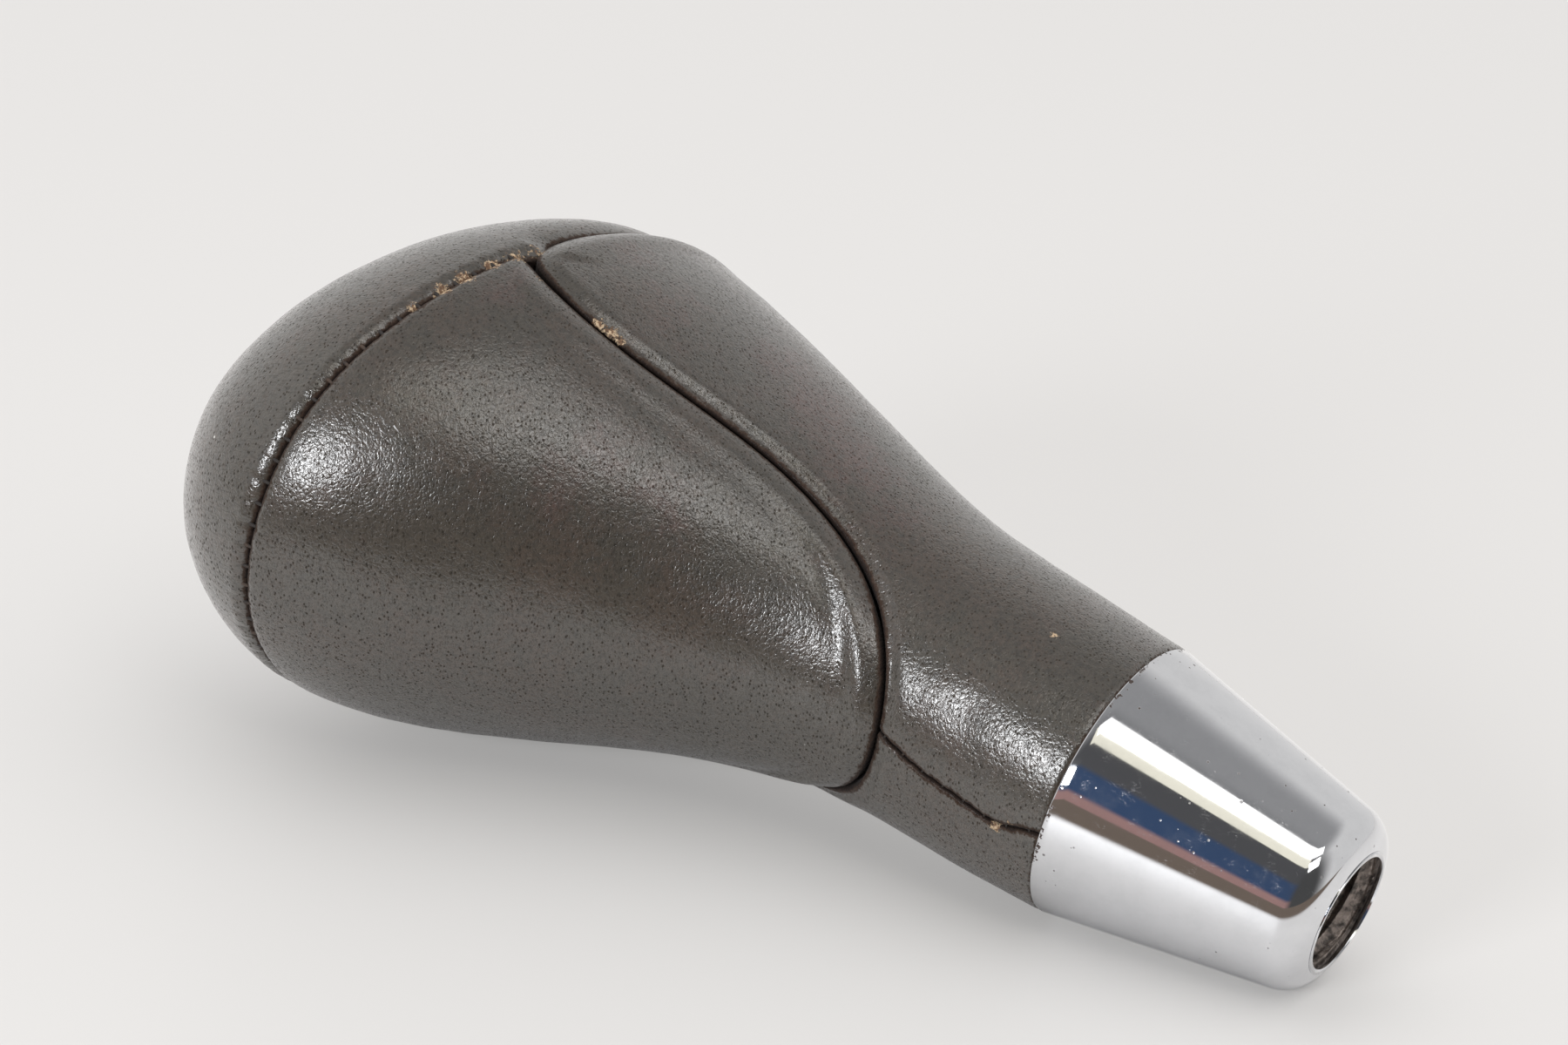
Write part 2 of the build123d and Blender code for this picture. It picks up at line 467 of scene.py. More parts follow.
def star_rings(loop, centre, inner_rings):
    """Rings from the loop in to the centre, which is left out: a close band at the edge, then even steps."""
    ray = centre - loop
    length = np.linalg.norm(ray, axis=1, keepdims=True)
    ray = ray / length
    rings = [loop + ray * np.minimum(step, edge_band_share * length) for step in edge_band]
    start = np.minimum(edge_band[-1], edge_band_share * length)
    for k in range(1, inner_rings):
        rings.append(loop + ray * (start + (length - start) * k / inner_rings))
    return np.array(rings)


def nearest_on(loop_points, points):
    """Distance to the loop, and the place along it, for each point."""
    tree = KDTree(len(loop_points))
    for k, point in enumerate(loop_points):
        tree.insert(point, k)
    tree.balance()
    found = [tree.find(point)[1:] for point in points]
    index = np.array([f[0] for f in found])
    return np.array([f[1] for f in found]), index


def lattice_noise(points, size, seed):
    """Smooth noise of about unit height with waves of about this size, in millimetres."""
    state = np.random.default_rng(seed)
    waves = 10
    total = np.zeros(len(points))
    for _ in range(waves):
        direction = state.normal(size=3)
        direction *= 2 * pi / size / np.linalg.norm(direction) * state.uniform(0.6, 1.5)
        total += np.sin(points @ direction + state.uniform(0, 2 * pi))
    usual_height = 3.2
    return total / usual_height


def shown(name, data):
    """New object in the scene for a mesh, a lamp or a camera."""
    piece = bpy.data.objects.new(name, data)
    bpy.context.scene.collection.objects.link(piece)
    return piece


def closed_mesh(name, points, faces, attributes):
    """Smooth piece with its faces turned outward and float attributes on its points."""
    mesh = bpy.data.meshes.new(name)
    mesh.from_pydata(world(points).tolist(), [], faces)
    mesh.shade_smooth()
    for key, values in attributes.items():
        layer = mesh.attributes.new(key, "FLOAT", "POINT")
        layer.data.foreach_set("value", np.asarray(values, np.float32))
    outward(mesh)
    return shown(name, mesh)


def band(low, high, count):
    """Faces between two rings of points whose first points have these numbers."""
    columns = np.arange(count)
    after = np.roll(columns, -1)
    return np.stack([low + columns, low + after, high + after, high + columns], 1).tolist()


def mesh_piece(name, rings, inner_pole, outer_pole, attributes):
    """Closed piece through a stack of rings between two poles."""
    loops, count = rings.shape[:2]
    points = np.concatenate([outer_pole[None], rings.reshape(-1, 3), inner_pole[None]])
    columns = np.arange(count)
    after = np.roll(columns, -1)
    last = 1 + (loops - 1) * count
    faces = []
    for first in range(1, last, count):
        faces += band(first, first + count, count)
    faces += np.stack([np.zeros(count, int), 1 + after, 1 + columns], 1).tolist()
    faces += np.stack([np.full(count, len(points) - 1), last + columns, last + after], 1).tolist()
    return closed_mesh(name, points, faces, attributes)


def outward(mesh):
    """Turns all faces over if the closed mesh is inside out."""
    mesh.calc_loop_triangles()
    spots = np.empty(len(mesh.vertices) * 3)
    mesh.vertices.foreach_get("co", spots)
    spots = spots.reshape(-1, 3)
    tris = np.empty(len(mesh.loop_triangles) * 3, int)
    mesh.loop_triangles.foreach_get("vertices", tris)
    a, b, c = spots[tris.reshape(-1, 3)].transpose(1, 0, 2)
    if np.einsum("ij,ij->i", a, np.cross(b, c)).sum() < 0:
        mesh.flip_normals()


def roll(distance, width, depth):
    """Drop of an edge that rolls over into a seam."""
    share = np.clip(1 - distance / width, 0, 1)
    return -depth * (1 - np.sqrt(1 - share**2))


def puff(distance, height, place, width):
    """Ridge that runs along an edge at this distance from it."""
    return height * bump(distance, place, width)


def stitch_pull(place):
    """One at each stitch along a seam, falling to zero between them."""
    return bump((place / stitch_pitch) % 1, 0.5, stitch_width)


def stitch_dip(place, distance, depth, reach):
    """Drop of an edge where each stitch pulls it down."""
    return -depth * stitch_pull(place) * np.exp(-distance / reach)


def spread_at(points, spots):
    """Strongest of the listed spots at each point."""
    strongest = np.zeros(len(points))
    for spot, radius, strength in spots:
        gap = np.linalg.norm(points - np.array(spot), axis=1)
        strongest = np.maximum(strongest, strength * np.exp(-((gap / radius) ** 2)))
    return strongest


def crease_places(points):
    """Places along and round a level line through the head's middle, in millimetres."""
    spot = (world(points) - world(head_middle)) / MM
    along = spot[:, 0] * cos(crease_turn) + spot[:, 1] * sin(crease_turn)
    toward = spot[:, 0] * sin(crease_turn) - spot[:, 1] * cos(crease_turn)
    return along, head_girth * np.arctan2(toward, spot[:, 2])


def surface_waves(points):
    """Height of the leather's soft waves at each point."""
    waves = np.zeros(len(points))
    for height, size, seed in (swells, ripples):
        waves = waves + height * lattice_noise(points, size, seed)
    return waves


def leather_panel(name, loop, centre, to_head, shape, inner_rings, creased):
    """Panel over a star-shaped area of the head: rolled edge, turned-in flange and inside face, one mesh."""
    around, along, weights, places = loop
    to_flat, from_flat = to_head
    ring_around, ring_along = from_flat(star_rings(to_flat(around, along), centre, inner_rings))
    surface = head(ring_around, ring_along)
    normals = head_normal(ring_around, ring_along)
    count = surface.shape[1]
    points = surface.reshape(-1, 3)
    distance, index = nearest_on(surface[0], points)
    lift = shape(points, distance, places[index], weights[:, index])
    lift = lift + smooth(0, plain_edge, distance) * surface_waves(points)
    lift = lift - spread_at(points, [(dent_spot, dent_radius, dent_depth)])
    outer = (points + normals.reshape(-1, 3) * lift[:, None]).reshape(surface.shape)
    flange = [outer[0] - normals[0] * drop for drop in (tuck_shoulder * tuck, tuck)]
    inner = [surface[k] - normals[k] * leather for k in range(0, len(surface), inside_ring_step)]
    inner[0] = inner[0] - normals[0] * folded_edge
    stack = np.concatenate([outer[::-1], np.array(flange), np.array(inner)])
    pole_around, pole_along = from_flat(centre[None])
    pole = head(pole_around, pole_along)[0]
    pole_normal = normals[-1].mean(0)
    outer_pole = pole + pole_normal * lift[-count:].mean()
    hidden = (len(flange) + len(inner)) * count + 1

    def whole(values):
        """Values of the outside's points for all of the mesh's points, zero on the inside."""
        seen = values.reshape(surface.shape[:2])[::-1].ravel()
        return np.concatenate([[seen[:count].mean()], seen, np.zeros(hidden)])

    crease_along, crease_round = crease_places(points)
    attributes = {
        "crease_along": whole(crease_along),
        "crease_round": whole(crease_round),
        "seam_distance": whole(distance),
        "seam_along": whole(places[index]),
        "wear": whole(spread_at(points, worn_spots)),
        "flush": whole(spread_at(points, flushed_spots)),
        "crown_edge": whole(weights[0][index]),
        "creased": whole(np.full(len(points), creased)),
    }
    return mesh_piece(name, stack, pole - pole_normal * leather, outer_pole, attributes)


def unrolled(around, along):
    return np.stack([around * mean_radius, along], -1)


def rolled(flat):
    return flat[..., 0] / mean_radius, flat[..., 1]


def from_top(around, along):
    return np.stack([(top_along - along) * np.cos(around), (top_along - along) * np.sin(around)], -1)


def onto_top(flat):
    return np.arctan2(flat[..., 1], flat[..., 0]), top_along - np.hypot(flat[..., 0], flat[..., 1])


def soft_labels(label, kinds, reach):
    """Weight of each kind along a loop, blended over reach places where the kind changes."""
    return np.array([np.clip(blurred((label == k).astype(float), reach), 0, 1) for k in range(kinds)])


# Rear panel, between the groove and the crown seam
up_around, up_along = joined_at_seam(*groove(groove_gap / 2), -seam_gap / 2)
top_around = np.linspace(up_around[-1], -up_around[-1], seam_samples)
rear_pieces = [
    (up_around, up_along),
    (top_around, crown_seam(top_around, -seam_gap / 2)),
    (-up_around[:0:-1], up_along[:0:-1]),
]
around, along, label, places = even_loop(rear_pieces, rear_spacing)
corners = [int(np.argmax(label == 1)), int(np.argmax(label == 2))]
around, along = rounded(around, along, corners, rear_corner_reach)
label = np.where(label == 1, 0, 1)
rear_loop = (around, along, soft_labels(label, 2, rear_corner_reach), places)


def rear_shape(points, distance, place, weights):
    crown, side = weights
    low = smooth(*rear_foot_rise, points[:, 2])

    def at_height(pair):
        return pair[0] + pair[1] * low

    sewn = roll(distance, *rear_sewn_roll) + stitch_dip(place, distance, *rear_stitch_dip)
    grooved = roll(distance, at_height(rear_roll_width), at_height(rear_roll_depth))
    grooved = grooved + puff(distance, at_height(rear_puff_height), *rear_puff_place)
    grooved = grooved - puff(distance, at_height(rear_hollow_depth), *rear_hollow_place)
    return crown * sewn + side * grooved


rear_centre = np.array([0.0, along_at_height(rear_middle)])
rear = leather_panel(
    "rear_leather", rear_loop, rear_centre, (unrolled, rolled), rear_shape, rear_rings, sparse_creases
)

# Crown, over the head's top, with a point of leather drawn down into each corner of the groove
around = np.linspace(0, 2 * pi, crown_samples, endpoint=False)
corner_around = up_around[-1] + crown_corner_turn
drawn = bump(np.abs(wrap(around)), corner_around, crown_point_width)
along = crown_seam(around, seam_gap / 2) - crown_point_drop * drawn
around, along, _, places = even_loop([(around, along)], crown_spacing)
turn_start, turn_end = crown_front_turn
to_front = smooth(corner_around + turn_start, corner_around + turn_end, np.abs(wrap(around)))
drawn = bump(np.abs(wrap(around)), corner_around, crown_point_spread)
crown_loop = (around, along, np.array([1 - to_front, to_front, drawn]), places)


def crown_shape(points, distance, place, weights):
    rear_side, front_side, drawn = weights
    sewn = roll(distance, *crown_sewn_roll) + stitch_dip(place, distance, *crown_stitch_dip)
    sewn = sewn + puff(distance, *crown_puff) * (1 - stitch_pull(place))
    tucked = roll(distance, *crown_tucked_roll)
    dented = crown_point_dent * drawn * bump(distance, 0, crown_point_reach)
    return rear_side * sewn + front_side * tucked - dented


crown = leather_panel(
    "crown_leather", crown_loop, np.zeros(2), (from_top, onto_top), crown_shape, crown_rings, full_creases
)

# Front panel, from groove to groove round the front, its edges sewn down the rear of the neck
seam_heights, seam_degrees = np.array(neck_seam).T
wander = natural_spline(seam_heights, seam_degrees[:, None])


def neck_line(heights, edge):
    """Angles of the neck seam's line at these heights, moved round by edge."""
    jog = neck_jog * ((heights / stitch_pitch) % 1 - 0.5)
    return radians(1) * wander(heights)[:, 0] + (jog + edge) / neck_radius


side_around, side_along = joined_at_seam(*groove(-groove_gap / 2), -seam_gap / 2)
both_around = np.concatenate([-side_around[:0:-1], side_around])
both_along = np.concatenate([side_along[:0:-1], side_along])
foot_heights = np.linspace(mouth_height - mouth_tuck, neck_seam_top, neck_samples)
right_neck = neck_line(foot_heights, seam_gap / 2)
left_neck = neck_line(foot_heights, -seam_gap / 2)
below_mouth = np.minimum(foot_heights - mouth_height, 0)
neck_along = along_at_height(np.maximum(foot_heights, mouth_height)) + below_mouth


def meets_groove(neck):
    """Number of neck seam points below the groove's foot."""
    return int(np.argmax(neck_along > np.interp(neck, both_around, both_along)))


right_end = meets_groove(right_neck)
left_end = meets_groove(left_neck)
near_part = side_around > right_neck[right_end - 1]
arc_around = np.linspace(side_around[-1], 2 * pi - side_around[-1], front_samples)
far_around = 2 * pi + both_around
far_part = far_around < 2 * pi + left_neck[left_end - 1]
mouth_around = np.linspace(2 * pi + left_neck[0], right_neck[0], seam_samples)
front_pieces = [
    (side_around[near_part], side_along[near_part]),
    (arc_around, crown_seam(arc_around, -seam_gap / 2)),
    (far_around[far_part], both_along[far_part]),
    (2 * pi + left_neck[:left_end][::-1], neck_along[:left_end][::-1]),
    (mouth_around, np.full(seam_samples, neck_along[0])),
    (right_neck[:right_end], neck_along[:right_end]),
]
crown_kind, side_kind, neck_kind, mouth_kind = range(4)
front_kinds = [side_kind, crown_kind, side_kind, neck_kind, mouth_kind, neck_kind]
around, along, label, places = even_loop(front_pieces, front_spacing)
corners = [int(np.argmax(label == 1)), int(np.argmax(label == 2))]
around, along = rounded(around, along, corners, front_corner_reach)
front_loop = (around, along, soft_labels(np.choose(label, front_kinds), 4, front_label_reach), places)


def front_shape(points, distance, place, weights):
    crown, side, neck, mouth = weights
    tucked = roll(distance, *front_tucked_roll) + puff(distance, *front_tucked_puff)
    lip = roll(distance, *front_lip_roll) + puff(distance, *front_lip_puff)
    lip = lip - front_lip_drop * (1 - smooth(*front_lip_step, distance))
    sewn = roll(distance, *front_neck_roll) + puff(distance, *front_neck_puff)
    held = roll(distance, *front_mouth_roll)
    return crown * tucked + side * lip + neck * sewn + mouth * held


front_centre = np.array([pi * mean_radius, along_at_height(front_middle)])
front = leather_panel(
    "front_leather", front_loop, front_centre, (unrolled, rolled), front_shape, front_rings, sparse_creases
)


def ring(radius, z, angles):
    """Points round the lever at these angles."""
    return np.stack([radius * np.cos(angles), radius * np.sin(angles), np.full(len(angles), z)], 1)


def turned(name, outline, columns):
    """Closed ring turned about the lever's axis from a closed outline of radius and height."""
    angles = np.linspace(0, 2 * pi, columns, endpoint=False)
    points = np.concatenate([ring(r, z, angles) for r, z in outline])
    faces = []
    for k in range(len(outline)):
        faces += band(k * columns, (k + 1) % len(outline) * columns, columns)
    gaps = np.repeat([mouth_height - z for _, z in outline], columns)
    return closed_mesh(name, points, faces, {"mouth_gap": gaps})


def ferrule_outline():
    """Edge of the hole, round nose, cone, edge of the mouth and cavity, as radius and height."""
    slope = np.arctan2(mouth_radius - nose_radius, mouth_height)
    centre_radius = nose_radius - nose_rounding * tan((pi / 2 - slope) / 2)
    outline = [(hole_radius + out, height) for out, height in hole_edge]
    for turn in np.linspace(-pi / 2, -slope, nose_steps):
        outline.append((centre_radius + nose_rounding * cos(turn), nose_rounding + nose_rounding * sin(turn)))
    first_radius, first_height = outline[-1]
    for height in np.linspace(first_height, mouth_height - cone_end, cone_steps)[1:]:
        share = (height - first_height) / (mouth_height - first_height)
        outline.append((first_radius + (mouth_radius - first_radius) * share, height))
    outline += [(mouth_radius + out, mouth_height + up) for out, up in mouth_edge]
    return outline + ferrule_cavity


ferrule = turned("chrome_ferrule_shell", ferrule_outline(), ferrule_columns)


def threaded_sleeve():
    """Sleeve with a cut screw thread in its bore and a closed end."""
    angles = np.linspace(0, 2 * pi, sleeve_columns, endpoint=False)
    wider, lead_in_length = lead_in
    rings = []
    for z in np.arange(sleeve_start, thread_depth, thread_pitch / thread_steps):
        phase = (z / thread_pitch - angles / (2 * pi)) % 1
        cut = np.clip(thread_crest - thread_flank * np.abs(phase - 0.5), 0, 1) ** thread_rounding
        radius = thread_minor + (thread_major - thread_minor) * cut
        radius = radius + wider * (1 - smooth(nose_lip, nose_lip + lead_in_length, z))
        rings.append(ring(np.minimum(radius, hole_radius + lead_in_rim), z, angles))
    outside = [ring(sleeve_radius, sleeve_start, angles), ring(sleeve_radius, sleeve_top, angles)]
    stack = np.array([*rings[::-1], *outside])
    bore_end = np.array([0, 0, thread_depth + drill_tip])
    return mesh_piece("threaded_sleeve", stack, np.array([0, 0, sleeve_top]), bore_end, {})


sleeve = threaded_sleeve()


# Stitches
def stitch_tree():
    """Stitches along a seam's line, each a stretched bead turned across the seam."""
    tree = bpy.data.node_groups.new("seam_stitches", "GeometryNodeTree")
    sockets = [
        ("Seam", "INPUT", "NodeSocketGeometry"),
        ("Spacing", "INPUT", "NodeSocketFloat"),
        ("Stitch Length", "INPUT", "NodeSocketFloat"),
        ("Thread Thickness", "INPUT", "NodeSocketFloat"),
        ("Thread", "INPUT", "NodeSocketMaterial"),
        ("Stitches", "OUTPUT", "NodeSocketGeometry"),
    ]
    for label, way, kind in sockets:
        tree.interface.new_socket(label, in_out=way, socket_type=kind)
    add = tree.nodes.new
    given = add("NodeGroupInput")
    made = add("NodeGroupOutput")
    line = add("GeometryNodeMeshToCurve")
    spaced = add("GeometryNodeResampleCurve")
    spaced.mode = "LENGTH"
    bead = add("GeometryNodeMeshUVSphere")
    bead.inputs["Segments"].default_value = bead_segments
    bead.inputs["Rings"].default_value = bead_rings
    bead.inputs["Radius"].default_value = bead_radius
    size = add("ShaderNodeCombineXYZ")
    across = add("GeometryNodeInputNamedAttribute")
    up = add("GeometryNodeInputNamedAttribute")
    for axis, label in ((across, "across"), (up, "up")):
        axis.data_type = "FLOAT_VECTOR"
        axis.inputs["Name"].default_value = label
    turn = add("FunctionNodeAxesToRotation")
    turn.primary_axis = "X"
    turn.secondary_axis = "Z"
    place = add("GeometryNodeInstanceOnPoints")
    real = add("GeometryNodeRealizeInstances")
    coat = add("GeometryNodeSetMaterial")
    wires = [
        (given, "Seam", line, "Mesh"),
        (line, "Curve", spaced, "Curve"),
        (given, "Spacing", spaced, "Length"),
        (given, "Stitch Length", size, "X"),
        (given, "Thread Thickness", size, "Y"),
        (given, "Thread Thickness", size, "Z"),
        (across, "Attribute", turn, "Primary Axis"),
        (up, "Attribute", turn, "Secondary Axis"),
        (spaced, "Curve", place, "Points"),
        (bead, "Mesh", place, "Instance"),
        (turn, "Rotation", place, "Rotation"),
        (size, "Vector", place, "Scale"),
        (place, "Instances", real, "Geometry"),
        (real, "Geometry", coat, "Geometry"),
        (given, "Thread", coat, "Material"),
        (coat, "Geometry", made, "Stitches"),
    ]
    for source, output, target, entry in wires:
        tree.links.new(source.outputs[output], target.inputs[entry])
    return tree


def stitched(name, around, along, stitch, thread):
    """Row of stitches laid across a seam on the head; stitch is its sink, length and thickness."""
    sink, length, thickness = stitch
    points = head(around, along)
    normals = head_normal(around, along)
    across = np.cross(normals, np.gradient(points, axis=0))
    across /= np.linalg.norm(across, axis=1, keepdims=True)
    mesh = bpy.data.meshes.new(name + "_line")
    placed = world(points - normals * sink)
    mesh.from_pydata(placed.tolist(), [(k, k + 1) for k in range(len(points) - 1)], [])
    turn = place_turn / MM
    for key, values in (("across", across @ turn.T), ("up", normals @ turn.T)):
        layer = mesh.attributes.new(key, "FLOAT_VECTOR", "POINT")
        layer.data.foreach_set("vector", values.astype(np.float32).ravel())
    seam = shown(name + "_line", mesh)
    modifier = seam.modifiers.new("stitches", "NODES")
    modifier.node_group = stitches
    settings = {
        "Spacing": stitch_pitch * MM,
        "Stitch Length": length * MM,
        "Thread Thickness": thickness * MM,
        "Thread": thread,
    }
    for socket in stitches.interface.items_tree:
        if socket.in_out == "INPUT" and socket.name in settings:
            modifier[socket.identifier] = settings[socket.name]
    graph = bpy.context.evaluated_depsgraph_get()
    made = bpy.data.meshes.new_from_object(seam.evaluated_get(graph))
    bpy.data.objects.remove(seam)
    made.shade_smooth()
    return shown(name, made)


# Materials
grey_hide = (0.0415, 0.0345, 0.0262, 1)
umber_hide = (0.0475, 0.0348, 0.0258, 1)
flushed_hide = (0.064, 0.0362, 0.0300, 1)
mottle_dark = (0.020, 0.0178, 0.0145, 1)
mark_dark = (0.014, 0.012, 0.0095, 1)
pore_dark = (0.010, 0.0085, 0.007, 1)
# The next two colours darken each panel's edge: dirt in the seams, and painted shade where the leather turns
# down into them
seam_soil_and_shade = (0.038, 0.019, 0.012, 1)
seam_dirt_and_shade = (0.011, 0.0065, 0.005, 1)
bare_brown = (0.13, 0.075, 0.045, 1)
bare_tan = (0.44, 0.33, 0.22, 1)
dust_pale = (0.7, 0.68, 0.64, 1)
plating_bright = (0.58, 0.585, 0.60, 1)
plating_smeared = (0.50, 0.505, 0.52, 1)
pit_brown = (0.05, 0.035, 0.03, 1)
steel_bare = (0.34, 0.29, 0.26, 1)
steel_greasy = (0.03, 0.024, 0.02, 1)
core_black = (0.012, 0.011, 0.010, 1)
core_grey = (0.02, 0.018, 0.016, 1)
thread_dark = (0.018, 0.014, 0.012, 1)
thread_faded = (0.05, 0.03, 0.02, 1)

pores_per_mm = 2.6
pore_shade = 0.27           # how far a pore darkens the hide
grain_stretch = (1.0, 1.0, 0.62)
marks_per_mm = 6.4
mark_shade = 0.07
mark_dulling = 0.55         # a mark takes this share of the gloss that a pore takes
creases_per_mm = 5.4
crease_stretch = 0.26       # shortens the pattern along the creases, so that they come out long
crease_strength = 0.75
gloss_loss = 0.8
gloss_roughness = 0.23
gloss_ior = 1.7
pucker_length = 0.42        # of the fine folds along the crown seam
pucker_reach = (0.6, 3.2)
hide_relief = 0.03          # depths of the surface patterns
gloss_relief = 0.017
pit_relief = -0.006
grease_relief = 0.2
pits = [                    # cells per millimetre, share of them left whole, kept to clusters
    (0.75, 0.84, False),
    (1.2, 0.6, True),
]
pit_size = (0.05, 0.15)
scratches = [               # turn and lines per millimetre of each set
    (0.4, 4.0),
    (1.5, 3.0),
    (-0.6, 5.0),
]
scratch_stretch = (0.012, 1.0, 1.0)
scratch_width = 0.006


class Wiring:
    """Short ways to add shader nodes to one tree; inputs may be numbers, tuples or other nodes' sockets."""

    def __init__(self, tree):
        self.tree = tree

    def node(self, kind, inputs=(), **settings):
        made = self.tree.nodes.new(kind)
        for key, value in settings.items():
            setattr(made, key, value)
        self.fill(made, dict(inputs))
        return made

    def fill(self, node, inputs):
        for key, value in inputs.items():
            self.feed(node.inputs[key], value)

    def feed(self, socket, value):
        if isinstance(value, bpy.types.NodeSocket):
            self.tree.links.new(value, socket)
        else:
            socket.default_value = value

    def millimetres(self):
        place = self.node("ShaderNodeTexCoord").outputs["Object"]
        return self.node("ShaderNodeVectorMath", {0: place, "Scale": 1 / MM}, operation="SCALE").outputs[0]

    def maths(self, operation, first, second=0.0, third=0.0):
        return self.node("ShaderNodeMath", {0: first, 1: second, 2: third}, operation=operation).outputs[0]

    def times(self, first, second):
        return self.maths("MULTIPLY", first, second)

    def plus(self, first, second, factor=1.0):
        """First with the second added factor times."""
        return self.maths("MULTIPLY_ADD", second, factor, first)

    def rest(self, value):
        """What is left of one."""
        return self.maths("SUBTRACT", 1.0, value)

    def ramp(self, value, low, high, to_low=0.0, to_high=1.0):
        inputs = {"Value": value, "From Min": low, "From Max": high, "To Min": to_low, "To Max": to_high}
        made = self.node("ShaderNodeMapRange", inputs, interpolation_type="SMOOTHSTEP")
        return made.outputs["Result"]

    def below(self, value, low, high):
        """One below low, falling to zero at high."""
        return self.rest(self.ramp(value, low, high))

    def noise(self, place, per_mm, detail=2.0, rough=0.5, warp=0.0, output="Fac"):
        inputs = {"Vector": place, "Scale": per_mm, "Detail": detail, "Roughness": rough, "Distortion": warp}
        return self.node("ShaderNodeTexNoise", inputs).outputs[output]

    def cells(self, place, per_mm, feature="F1", output="Distance"):
        inputs = {"Vector": place, "Scale": per_mm}
        return self.node("ShaderNodeTexVoronoi", inputs, feature=feature).outputs[output]

    def toward(self, place, direction):
        """How far the place lies in this direction."""
        inputs = {0: place, 1: direction}
        return self.node("ShaderNodeVectorMath", inputs, operation="DOT_PRODUCT").outputs["Value"]

    def mix(self, share, first, second):
        made = self.node("ShaderNodeMix", data_type="RGBA")
        sockets = {s.identifier: s for s in made.inputs}
        self.feed(sockets["Factor_Float"], share)
        self.feed(sockets["A_Color"], first)
        self.feed(sockets["B_Color"], second)
        return next(s for s in made.outputs if s.identifier == "Result_Color")

    def attribute(self, name):
        return self.node("ShaderNodeAttribute", attribute_name=name).outputs["Fac"]

    def relief(self, height, depth):
        """Normal of a surface with this height pattern, depth being in millimetres."""
        inputs = {"Height": height, "Strength": 1.0, "Distance": depth * MM}
        return self.node("ShaderNodeBump", inputs).outputs["Normal"]


def material(name):
    """New material, the wiring of its tree and its main shader."""
    made = bpy.data.materials.new(name)
    made.use_nodes = True
    return made, Wiring(made.node_tree), made.node_tree.nodes["Principled BSDF"]


